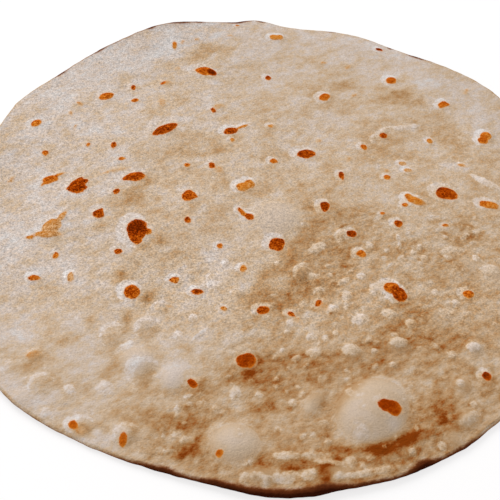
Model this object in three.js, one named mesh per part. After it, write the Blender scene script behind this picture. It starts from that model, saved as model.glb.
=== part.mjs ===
// Chapati: a round flatbread rolled by hand and baked on a hot griddle. Millimetres, +Z up.
// It lies on its flat underside at z = 0, with the origin in the middle of that face.
import * as THREE from 'three';
import { mergeVertices } from 'three/addons/utils/BufferGeometryUtils.js';

// Driving dimensions.
const MEAN_RADIUS = 89; // of the rolled round, before its swells and flats
const THICKNESS = 2; // of the plain bread between its bubbles
const RIM_THICKNESS = 1.3;
const RIM_WIDTH = 9; // the bread thins towards the rim over this width
const EDGE_ROUND = 0.8; // radius of the soft corner round the rim
const CURL_WIDTH = 13; // the rim can lift off the table over this width

// Fineness of the faceted surface.
const TOP_RINGS = 38; // rings of points from the middle to the rim
const POINTS_PER_RING = 6; // each ring has this many points more than the one inside it
const RIM_POINTS = TOP_RINGS * POINTS_PER_RING;
const CURL_STEPS = [0.35, 0.65, 1]; // underside rings over the curl, as shares of its width
const FLAT_RINGS = [
  { points: 48, radius: 52 },
  { points: 12, radius: 28 },
  { points: 3, radius: 13 },
]; // underside rings on the flat, the last one a triangle round the origin

// Swells (+) and flats (-) of the outline: angle from +X, mm outwards, spread in degrees.
const OUTLINE = [
  { at: -160, out: 0.8, spread: 7 },
  { at: -132, out: 2.4, spread: 8 },
  { at: -103, out: -0.7, spread: 7 },
  { at: -85, out: 1.9, spread: 6 },
  { at: -68, out: 1, spread: 5 },
  { at: -57, out: 0.5, spread: 3 },
  { at: -40, out: -0.6, spread: 8 },
  { at: -20, out: 0.9, spread: 8 },
  { at: 5, out: -0.8, spread: 9 },
  { at: 39, out: 2.5, spread: 9 },
  { at: 62, out: -1.4, spread: 5 },
  { at: 72, out: 1.5, spread: 12 },
  { at: 84, out: -1.7, spread: 6 },
  { at: 94, out: 2.2, spread: 3 },
  { at: 115, out: 2.8, spread: 7 },
  { at: 130, out: 0.6, spread: 4 },
  { at: 143, out: -0.2, spread: 4 },
  { at: 154, out: 0.8, spread: 4 },
  { at: 165, out: -1.6, spread: 6 },
];

// Stretches of the rim that curl up off the table: angle, mm of lift, spread in degrees.
const CURLS = [
  { at: -148, out: 1.7, spread: 13 },
  { at: -84, out: 0.8, spread: 13 },
  { at: -28, out: 1.5, spread: 11 },
  { at: 36, out: 2, spread: 14 },
  { at: 116, out: 2.2, spread: 12 },
  { at: 171, out: 1.2, spread: 9 },
];

// Slow rolls of the top where steam has lifted it: mm of height, direction, wavelength, start.
const ROLLS = [
  { height: 0.18, towards: 25, wavelength: 61, start: 0.8 },
  { height: 0.15, towards: 100, wavelength: 43, start: 2.1 },
  { height: 0.12, towards: 150, wavelength: 29, start: 4.4 },
];

// Puffed bubbles: middle, half length, half width, turn of the length from +X, height.
const BUBBLES = [
  { x: 27.2, y: -67.2, long: 11.5, wide: 9.5, turn: 50, height: 3 },
  { x: -5, y: -78, long: 7.5, wide: 6.5, turn: 0, height: 1.7 },
  { x: 3, y: -6, long: 9, wide: 8.5, turn: 0, height: 0.9 },
  { x: -30, y: -57, long: 5.5, wide: 5, turn: 0, height: 1.1 },
  { x: -21, y: -62, long: 4.6, wide: 4.4, turn: 0, height: 0.8 },
  { x: 13, y: -66, long: 6, wide: 3, turn: 60, height: 0.8 },
  { x: 34.5, y: -47.5, long: 4, wide: 3.2, turn: 0, height: 0.8 },
  { x: 23, y: -50.5, long: 3.4, wide: 2.8, turn: 0, height: 0.6 },
  { x: 54, y: -47, long: 3.6, wide: 3.2, turn: 0, height: 0.8 },
  { x: 49.5, y: -58.5, long: 3.5, wide: 3.4, turn: 0, height: 0.8 },
  { x: 49.5, y: -68, long: 4.5, wide: 3, turn: 35, height: 0.8 },
  { x: 46, y: -73, long: 3.6, wide: 2.8, turn: 90, height: 0.6 },
  { x: 10, y: -25.5, long: 4.2, wide: 4, turn: 0, height: 0.8 },
  { x: 62, y: -22, long: 5, wide: 4.5, turn: 90, height: 0.7 },
  { x: 56, y: -18, long: 5, wide: 4, turn: 0, height: 0.6 },
  { x: 46, y: -38, long: 3.6, wide: 3.4, turn: 0, height: 0.5 },
  { x: -30.5, y: -45, long: 3.4, wide: 3.2, turn: 0, height: 0.5 },
  { x: -56, y: -69.5, long: 3.4, wide: 3.2, turn: 0, height: 0.5 },
  { x: -31, y: -77, long: 3.6, wide: 3.4, turn: 0, height: 0.6 },
  { x: 15.5, y: -15.5, long: 4, wide: 2.8, turn: 60, height: 0.5 },
  { x: 2, y: -85.5, long: 7, wide: 2.6, turn: 0, height: 0.7 },
  { x: 18, y: -83.5, long: 7, wide: 2.8, turn: 0, height: 0.6 },
];

// Blisters that the griddle has browned: middle, length and width of the browned top, turn.
const BLISTERS = [
  { x: -22, y: 58.9, long: 7, wide: 4.6, turn: -15 },
  { x: -33.9, y: 72, long: 4.5, wide: 1.4, turn: 100 },
  { x: 0.5, y: 80.4, long: 5, wide: 3.2, turn: 8 },
  { x: 17, y: 49.2, long: 4.2, wide: 3, turn: 55 },
  { x: 39.3, y: 59.9, long: 3.8, wide: 3.4, turn: 80 },
  { x: 55.6, y: 48, long: 4.2, wide: 3.2, turn: 60 },
  { x: -52.9, y: 43.6, long: 5.2, wide: 3.4, turn: 35 },
  { x: -72.1, y: 28, long: 3.9, wide: 2.8, turn: 60 },
  { x: -63.2, y: 4.4, long: 4.2, wide: 3.4, turn: 40 },
  { x: -55.3, y: 2.7, long: 7.2, wide: 5.2, turn: 90 },
  { x: -32.6, y: 29.2, long: 8.8, wide: 3.6, turn: 38 },
  { x: -12.1, y: 30, long: 4.6, wide: 2.9, turn: 20 },
  { x: -39.4, y: 7.6, long: 6.4, wide: 3.4, turn: 25 },
  { x: -23, y: 1.1, long: 4.4, wide: 4.2, turn: 0 },
  { x: -6.4, y: 6.4, long: 5.4, wide: 3.5, turn: 25 },
  { x: 11.1, y: 21.8, long: 5.8, wide: 4, turn: 15 },
  { x: 21.7, y: 12.9, long: 3.6, wide: 1.6, turn: 100 },
  { x: 67.4, y: 33.7, long: 6, wide: 3, turn: 65 },
  { x: 52.3, y: 7.6, long: 6.2, wide: 5, turn: -20 },
  { x: 43.2, y: 4.4, long: 4.6, wide: 2.2, turn: -35 },
  { x: 64, y: 4.2, long: 4.8, wide: 2.6, turn: -12 },
  { x: 16.7, y: -1, long: 4.6, wide: 2.4, turn: 90 },
  { x: 3.2, y: -16.3, long: 4.6, wide: 4.2, turn: 90 },
  { x: 34.9, y: -30.3, long: 6.6, wide: 4.6, turn: -65 },
  { x: 0.1, y: -38.9, long: 3.2, wide: 2.5, turn: 20 },
  { x: -47.4, y: -8.3, long: 4, wide: 3, turn: 90 },
  { x: -59.6, y: -14.4, long: 7, wide: 5, turn: 90 },
  { x: -36.3, y: -13.2, long: 9.2, wide: 5.4, turn: 90 },
  { x: -34.4, y: -35.6, long: 4.7, wide: 3.9, turn: 100 },
  { x: -3.7, y: -54.9, long: 4.6, wide: 4.3, turn: 0 },
];
const BLISTER_SKIRT = 1.3; // a blister's dome reaches this far past its browned top
const BLISTER_HEIGHT = 0.45;

// Smooth step from 0 at t = 0 to 1 at t = 1.
function ease(t) {
  return THREE.MathUtils.smoothstep(t, 0, 1);
}

// Sum at one angle of bumps strung round the rim.
function roundTheRim(bumps, degrees) {
  return bumps.reduce((sum, bump) => {
    const apart = THREE.MathUtils.euclideanModulo(degrees - bump.at + 180, 360) - 180;
    return sum + bump.out * Math.exp(-0.5 * (apart / bump.spread) ** 2);
  }, 0);
}

function rimRadius(degrees) {
  return MEAN_RADIUS + roundTheRim(OUTLINE, degrees);
}

// How far the bread has lifted off the table at a distance in from the rim.
function lift(degrees, inset) {
  const share = Math.max(0, 1 - inset / CURL_WIDTH);
  return roundTheRim(CURLS, degrees) * share ** 2;
}

// Distance from the middle of an oval as a share of its radius that way: 1 on the oval.
function ovalDistance(x, y, oval, long, wide) {
  const turn = THREE.MathUtils.degToRad(oval.turn);
  const along = (x - oval.x) * Math.cos(turn) + (y - oval.y) * Math.sin(turn);
  const across = (y - oval.y) * Math.cos(turn) - (x - oval.x) * Math.sin(turn);
  return Math.hypot(along / long, across / wide);
}

// A bubble swells steeply from its foot, and a blister's skin rises softly from the bread.
function bubbleHeight(x, y) {
  return BUBBLES.reduce((sum, bubble) => {
    const away = Math.min(1, ovalDistance(x, y, bubble, bubble.long, bubble.wide));
    return sum + bubble.height * (1 - away ** 2) ** 1.4;
  }, 0);
}

function blisterHeight(x, y) {
  return BLISTERS.reduce((sum, blister) => {
    const long = blister.long / 2 + BLISTER_SKIRT;
    const wide = blister.wide / 2 + BLISTER_SKIRT;
    const away = Math.min(1, ovalDistance(x, y, blister, long, wide));
    return sum + BLISTER_HEIGHT * (1 - away ** 2) ** 2;
  }, 0);
}

function rollHeight(x, y) {
  return ROLLS.reduce((sum, roll) => {
    const towards = THREE.MathUtils.degToRad(roll.towards);
    const distance = x * Math.cos(towards) + y * Math.sin(towards);
    const phase = (2 * Math.PI * distance) / roll.wavelength + roll.start;
    return sum + roll.height * Math.sin(phase);
  }, 0);
}

// Thickness of the bread, with its relief fading out on the rim itself.
function thickness(x, y, inset) {
  const inwards = ease(inset / RIM_WIDTH);
  const plain = RIM_THICKNESS + (THICKNESS - RIM_THICKNESS) * inwards;
  const relief = bubbleHeight(x, y) + blisterHeight(x, y) + rollHeight(x, y) * inwards;
  return plain + relief * ease(inset / (2 * EDGE_ROUND));
}

// One ring of points at the distance in from the rim that insetAt gives, at heightAt's height.
function ring(points, insetAt, heightAt) {
  return Array.from({ length: points }, (_, index) => {
    const degrees = (360 * index) / points;
    const radians = THREE.MathUtils.degToRad(degrees);
    const inset = insetAt(degrees);
    const radius = rimRadius(degrees) - inset;
    const x = radius * Math.cos(radians);
    const y = radius * Math.sin(radians);
    return new THREE.Vector3(x, y, heightAt(x, y, inset, degrees));
  });
}

// Ring of the top: the first is the middle point, and the last is where the edge turns down.
function topRing(index) {
  const share = index / TOP_RINGS;
  const insetAt = (degrees) => rimRadius(degrees) * (1 - share) + EDGE_ROUND * share;
  const heightAt = (x, y, inset, degrees) => lift(degrees, inset) + thickness(x, y, inset);
  return ring(Math.max(1, POINTS_PER_RING * index), insetAt, heightAt);
}

function rimRing() {
  const heightAt = (x, y, inset, degrees) => lift(degrees, inset) + RIM_THICKNESS / 2;
  return ring(RIM_POINTS, () => 0, heightAt);
}

// Underside ring at a fixed distance in from the rim, lying where the curl lifts it.
function curledRing(points, inset) {
  const heightAt = (x, y, at, degrees) => lift(degrees, at);
  return ring(points, () => inset, heightAt);
}

// Underside ring of a fixed radius on the flat that rests on the table.
function flatRing(points, radius) {
  const insetAt = (degrees) => rimRadius(degrees) - radius;
  return ring(points, insetAt, () => 0);
}

// Triangles between two closed rings that start at the same angle, from the inner to the outer.
function stitch(inner, outer, triangles) {
  const innerSteps = inner.length === 1 ? 0 : inner.length;
  let i = 0;
  let o = 0;
  while (i < innerSteps || o < outer.length) {
    const here = inner[i % inner.length];
    const there = outer[o % outer.length];
    const innerNext = i < innerSteps && (i + 0.5) / innerSteps < (o + 0.5) / outer.length;
    if (innerNext) {
      i += 1;
      triangles.push(here, there, inner[i % inner.length]);
    } else {
      o += 1;
      triangles.push(here, there, outer[o % outer.length]);
    }
  }
}

// Sewing on to a ring of fewer points is sewing back from it with the triangles turned over.
function sew(from, to, triangles) {
  if (from.length <= to.length) {
    stitch(from, to, triangles);
    return;
  }
  const turned = [];
  stitch(to, from, turned);
  triangles.push(...turned.reverse());
}

// The closed skin: over the top from its middle, round the rim, and in along the underside.
function skin() {
  const top = Array.from({ length: TOP_RINGS + 1 }, (_, index) => topRing(index));
  const edge = [rimRing(), curledRing(RIM_POINTS, EDGE_ROUND)];
  const curl = CURL_STEPS.map((share) => curledRing(RIM_POINTS / 2, share * CURL_WIDTH));
  const flat = FLAT_RINGS.map((step) => flatRing(step.points, step.radius));
  const rings = [...top, ...edge, ...curl, ...flat];
  const triangles = [];
  for (let index = 1; index < rings.length; index += 1) {
    sew(rings[index - 1], rings[index], triangles);
  }
  const lastTriangle = [...rings.at(-1)].reverse();
  triangles.push(...lastTriangle);
  return triangles;
}

function breadGeometry() {
  const geometry = new THREE.BufferGeometry().setFromPoints(skin());
  const merged = mergeVertices(geometry, 1e-3);
  merged.computeVertexNormals();
  return merged;
}

const crust = new THREE.MeshStandardMaterial({ color: 0xd6bc9c, roughness: 0.85, metalness: 0 });
const chapati = new THREE.Mesh(breadGeometry(), crust);
chapati.name = 'chapati';

const bread = new THREE.Group();
bread.add(chapati);

export default bread;
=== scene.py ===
"""Looks for the chapati: one bread mesh with its relief, toasted blisters and floury crust.

The round's outline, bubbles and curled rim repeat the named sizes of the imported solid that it
replaces. Sizes and places are in millimetres until the mesh is made, which is in metres.
"""

import math
from collections import namedtuple

import bpy
import numpy as np
from mathutils import Matrix, Vector


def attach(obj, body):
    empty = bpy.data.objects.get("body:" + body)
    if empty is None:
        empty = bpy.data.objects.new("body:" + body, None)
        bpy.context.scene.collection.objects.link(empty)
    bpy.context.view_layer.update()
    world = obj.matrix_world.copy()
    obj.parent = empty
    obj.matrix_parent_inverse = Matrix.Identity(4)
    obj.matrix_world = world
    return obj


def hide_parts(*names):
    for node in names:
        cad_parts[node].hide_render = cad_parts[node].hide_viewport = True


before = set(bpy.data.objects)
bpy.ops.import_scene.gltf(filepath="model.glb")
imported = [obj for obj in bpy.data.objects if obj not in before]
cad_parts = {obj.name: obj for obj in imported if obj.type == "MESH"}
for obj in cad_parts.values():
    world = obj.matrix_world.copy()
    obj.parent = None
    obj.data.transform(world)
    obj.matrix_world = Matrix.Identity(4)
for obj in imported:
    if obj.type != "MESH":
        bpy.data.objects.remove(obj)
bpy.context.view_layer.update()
MM = 0.001

# --------------------
# Sizes of the bread, as in the solid
# --------------------
MEAN_RADIUS = 89
THICKNESS = 2.0  # of the plain bread between its bubbles
RIM_THICKNESS = 1.3
RIM_WIDTH = 9  # the bread thins towards the rim over this width
EDGE_ROUND = 0.8  # radius of the soft corner round the rim
CURL_WIDTH = 13  # the rim can lift off the table over this width

# Swells and flats of the outline: angle from +X, mm outwards, spread in degrees.
OUTLINE = [
    (-160, 0.8, 7), (-132, 2.4, 8), (-103, -0.7, 7), (-85, 1.9, 6), (-68, 1, 5),
    (-57, 0.5, 3), (-40, -0.6, 8), (-20, 0.9, 8), (5, -0.8, 9), (39, 2.5, 9),
    (62, -1.4, 5), (72, 1.5, 12), (84, -1.7, 6), (94, 2.2, 3), (115, 2.8, 7),
    (130, 0.6, 4), (143, -0.2, 4), (154, 0.8, 4), (165, -1.6, 6),
]

# Stretches of the rim that curl up off the table: angle, mm of lift, spread in degrees.
CURLS = [
    (-148, 1.7, 13), (-84, 0.8, 13), (-28, 1.5, 11), (36, 2, 14), (116, 2.2, 12), (171, 1.2, 9),
]

# Slow rolls of the top: mm of height, direction, wavelength, start.
ROLLS = [(0.18, 25, 61, 0.8), (0.15, 100, 43, 2.1), (0.12, 150, 29, 4.4)]

# Bubbles: middle, half length, half width, turn of the length from +X, height. A row that ends
# early has no turn, or the height of 0.3 that most of the small lumps have.
Bubble = namedtuple("Bubble", "x y long wide turn height", defaults=(0, 0.3))
BUBBLES = [Bubble(*row) for row in [
    (27.2, -67.2, 11.5, 9.5, 50, 3), (-5, -78, 7.5, 6.5, 0, 1.7),
    (3, -6, 9, 8.5, 0, 0.9), (-30, -57, 5.5, 5, 0, 1.1),
    (-21, -62, 4.6, 4.4, 0, 0.8), (13, -66, 6, 3, 60, 0.8),
    (34.5, -47.5, 4, 3.2, 0, 0.8), (23, -50.5, 3.4, 2.8, 0, 0.6),
    (54, -47, 3.6, 3.2, 0, 0.8), (49.5, -58.5, 3.5, 3.4, 0, 0.8),
    (49.5, -68, 4.5, 3, 35, 0.8), (46, -73, 3.6, 2.8, 90, 0.6),
    (10, -25.5, 4.2, 4, 0, 0.8), (62, -22, 5, 4.5, 90, 0.7),
    (56, -18, 5, 4, 0, 0.6), (46, -38, 3.6, 3.4, 0, 0.5),
    (-30.5, -45, 3.4, 3.2, 0, 0.5), (-56, -69.5, 3.4, 3.2, 0, 0.5),
    (-31, -77, 3.6, 3.4, 0, 0.6), (15.5, -15.5, 4, 2.8, 60, 0.5),
    (2, -85.5, 7, 2.6, 0, 0.7), (18, -83.5, 7, 2.8, 0, 0.6),
]]

# Small pale lumps, ridges and rim pillows between the bubbles, too fine for the solid.
LUMPS = [Bubble(*row) for row in [
    (8.3, -24.8, 1.8, 0.7, 79, 0.4), (10.4, -22.5, 1.8, 0.8, 15, 0.4),
    (13.3, -26.6, 2, 1, 29, 0.4), (14.3, -16.4, 2.9, 1.7, 40),
    (20.8, -10.6, 2.6, 1.6, 59, 0.4), (17.4, -22.4, 1.1, 0.7, 4),
    (17.8, -25.7, 0.8, 1), (21.3, -27.5, 2.2, 1, 39, 0.4),
    (26.1, -25.6, 1.5, 1.3, 0, 0.45), (23.5, -23.5, 1.9, 0.6, 44, 0.25),
    (28.7, -14.1, 1.2, 1.5, 0, 0.35), (24.5, -17.3, 1.8, 0.9, 66, 0.4),
    (22, -32.6, 1.5, 1.9, 0, 0.4), (21.7, -35.9, 1.7, 0.8, 88, 0.35),
    (29.7, -30.1, 2, 2.4, 0, 0.35), (14.5, -31.2, 1.8, 1, 34, 0.4),
    (18.2, -37.2, 1.8, 1.4, 28, 0.4), (25.2, -40.3, 2.5, 1.9, 22, 0.35),
    (7.1, -42.7, 1, 1.3, 0, 0.35), (3.2, -22.7, 0.8, 0.9),
    (32.8, -37.8, 2.1, 1.7, -9), (38.3, -40.6, 1.7, 1.5, 10, 0.4),
    (33.8, -44.7, 1.2, 1, 0, 0.4), (50.8, -32.8, 1.1, 1.4),
    (44.4, -47.4, 1.6, 0.7, -52, 0.35), (32.9, -53.6, 1.2, 0.9, 16, 0.4),
    (47.9, -49.5, 1.3, 1.3, 0, 0.25), (45.6, -29.5, 1.1, 1.4, 0, 0.25),
    (5.3, -51, 0.9, 0.6, 43, 0.45), (8.9, -53.3, 1.5, 0.9, 27, 0.4),
    (13, -51.5, 2, 1.4, -2, 0.35), (11.2, -55.4, 1.3, 0.5, 45, 0.4),
    (28.5, -54.4, 1.2, 0.6, 44, 0.45), (4, -59.6, 0.9, 0.7, 27, 0.35),
    (4, -61.8, 0.8, 0.7, 0, 0.4), (6.6, -63, 0.6, 0.6, 0, 0.35),
    (10.4, -63.6, 1.2, 0.8, 37, 0.35), (8.2, -66.3, 1.1, 1.3, 0, 0.35),
    (21.4, -62.6, 1.1, 0.8, 36), (18.7, -45.2, 0.9, 1, 0, 0.35),
    (6.5, -45.4, 0.9, 0.8), (12.8, -46.8, 1.6, 1.3),
    (16.2, -46.9, 1.2, 1.1), (7.1, -56.4, 0.6, 0.8),
    (14.8, -59.5, 0.8, 0.5, -32, 0.25), (9.5, -61.7, 0.8, 0.7, 0, 0.25),
    (21.3, -58.6, 0.8, 0.5, 26, 0.25), (21.3, -56.2, 0.8, 0.6),
    (27.2, -46.4, 0.9, 1.1), (28.5, -50, 1, 0.9),
    (-7.9, -59.8, 0.8, 0.5, 16, 0.5), (-5.8, -64.5, 1.5, 2.3),
    (-0.1, -64.3, 0.9, 1, 0, 0.45), (-13.4, -68.3, 1.6, 1.6, 0, 0.2),
    (-10.1, -69.2, 1.2, 1.3, 0, 0.2), (-17, -66.1, 1.2, 0.6, 21),
    (-19.4, -70.3, 1.7, 0.7, 96), (-1.7, -83, 1.4, 0.5, 31, 0.4),
    (-2.7, -86.6, 1.1, 1.3), (-0.5, -86.2, 1, 1.3),
    (2.4, -86.9, 1.1, 1.2), (-21.7, -77.2, 0.6, 0.7, 0, 0.35),
    (-19.1, -76.6, 0.6, 0.7), (-17, -77.9, 1.2, 0.8, 48),
    (-17.3, -73.3, 0.7, 0.6), (-20.1, -80.8, 2.3, 0.5, 9),
    (50.6, -9.1, 1.2, 0.6, -37, 0.4), (56, -8.4, 1.7, 0.9, 34, 0.35),
    (59.4, -6.2, 1.3, 1, 23, 0.35), (56.1, -11.9, 1.1, 0.4, 23),
    (58.1, -10.5, 1.3, 0.6, 23), (37.2, -13.5, 1.7, 0.6, 86, 0.4),
    (42.7, -13.4, 0.9, 1.3, 0, 0.35), (40.9, -15.8, 1.1, 1.1),
    (43.9, -17.4, 1.4, 1.3), (37.3, -18.1, 1.4, 0.9, 52, 0.35),
    (42.4, -19.1, 1, 0.6), (39.9, -8.6, 1.2, 0.6, 34),
    (37, -10.4, 0.7, 1.2), (51.8, -14.2, 3.6, 1.9, 17, 0.25),
    (50.8, -16.5, 1.4, 1), (58.3, -16.5, 1.4, 1.5),
    (34, -21, 1.4, 0.5, 48), (32.6, -18.5, 0.9, 0.9),
    (33.6, -15.6, 0.7, 0.8), (29.4, -77, 0.6, 0.7),
    (35.9, -77.5, 1.2, 1.2, 0, 0.35), (37.4, -71.3, 0.6, 0.8, 0, 0.35),
    (51.8, -63.6, 1, 1), (43.2, -75.4, 1.2, 1.3),
    (45.6, -67.9, 0.7, 1.1, 0, 0.25), (10.6, -75.1, 1, 0.8, 45),
    (13.1, -74.4, 0.8, 0.6, 0, 0.25), (16.4, -76.1, 1, 0.8, 35, 0.45),
    (24.2, -74, 2.1, 1.9, 60, 0.15), (4.4, -80.5, 0.7, 0.8, 0, 0.35),
    (7.2, -80.4, 2.9, 1.2, 6), (13, -79.7, 2.8, 0.9, 8),
    (0.9, -86.3, 0.7, 1.2), (4.7, -86.3, 1, 1.3),
    (16.7, -80.1, 1.4, 1.1, -7, 0.2), (16.8, -81.5, 5, 0.7, -4, 0.35),
    (7.2, -85.8, 2.8, 1.5, 25), (12.1, -84.8, 2.1, 1.5, 20),
    (18.7, -84.7, 1.4, 1, 14), (21.7, -80.7, 1.4, 1.3, 0, 0.35),
    (24.5, -81.9, 0.9, 0.8), (26.4, -79.7, 1.4, 0.7, 9, 0.25),
    (27, -83, 9.5, 1, 15), (65.2, 13.2, 6.5, 1.5, -37, 0.35),
    (31.9, 30.9, 2.3, 1.1, 74), (35.6, 34.8, 3.2, 1.2, 35),
    (41.3, 36.4, 3.2, 1.3, 5), (45.1, 37, 1.1, 1.8, 5, 0.35),
    (-13.5, -31, 1.9, 1.7, 0, 0.2),
    (-45.2, -66.3, 1.4, 2.2, 40), (-49.9, -72.7, 1.4, 1.6, 0, 0.25),
    (-37.2, -65.2, 2.1, 2.3, 0, 0.2), (-32.7, -52, 1, 1.2),
    (-19.1, -71.4, 0.6, 1.1), (-17.8, -42.8, 1.3, 1.6),
    (-10.8, -23.3, 1.1, 1.8), (-33.5, -53, 1.9, 1.2, 4, 0.25),
    (-20.9, -48.8, 1.4, 1.9, 20, 0.25), (-15.5, -47.6, 3.4, 0.5, 48, 0.35),
    (34.6, -47.2, 2.6, 1.8, 10, 0.4), (22.6, -50.2, 2.5, 2),
    (53.6, -47.1, 2, 1.5, 4, 0.35), (50.4, -67.6, 3.6, 1.4, 38, 0.2),
    (49, -58.3, 1.1, 1.3), (-31.4, -58.6, 1.5, 2.8, -20, 0.2),
    (61.5, -20.5, 2.6, 2.2, 0, 0.2), (48.5, -36.5, 3, 2.4, 0, 0.15),
]]

# Small domes, too fine for the solid: far left slope painted pale as highlight,
# near right slope painted tan as shade.
DOMES = [Bubble(*row) for row in [
    (-29.2, -46.8, 4, 3.3, 60, 0.35), (-37.6, -49.6, 3.5, 4.2, 0, 0.35),
    (-28.5, -60, 4.4, 3.6, 50, 0.25), (-52.6, -65.2, 3.3, 3.6, 0, 0.35),
    (-41.4, -75.4, 3.4, 3), (-30.1, -77.2, 3.4, 3.2),
    (-26.6, -40, 2.6, 2.5), (-12.4, -31.4, 1.6, 1.8, 0, 0.35),
    (-7, -33.8, 1.8, 2.2, 60, 0.35), (-13.8, -28.6, 1.9, 1.9),
    (10, -25.6, 2.8, 2.4, 40, 0.4), (14.4, -28, 2.4, 1.9, 30, 0.35),
    (-55.6, -56.8, 2.2, 2, 0, 0.2),
    (-60.6, -60.6, 2.6, 2.2, 30, 0.2), (18.4, -38, 2.2, 1.8, 30),
]]
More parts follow.
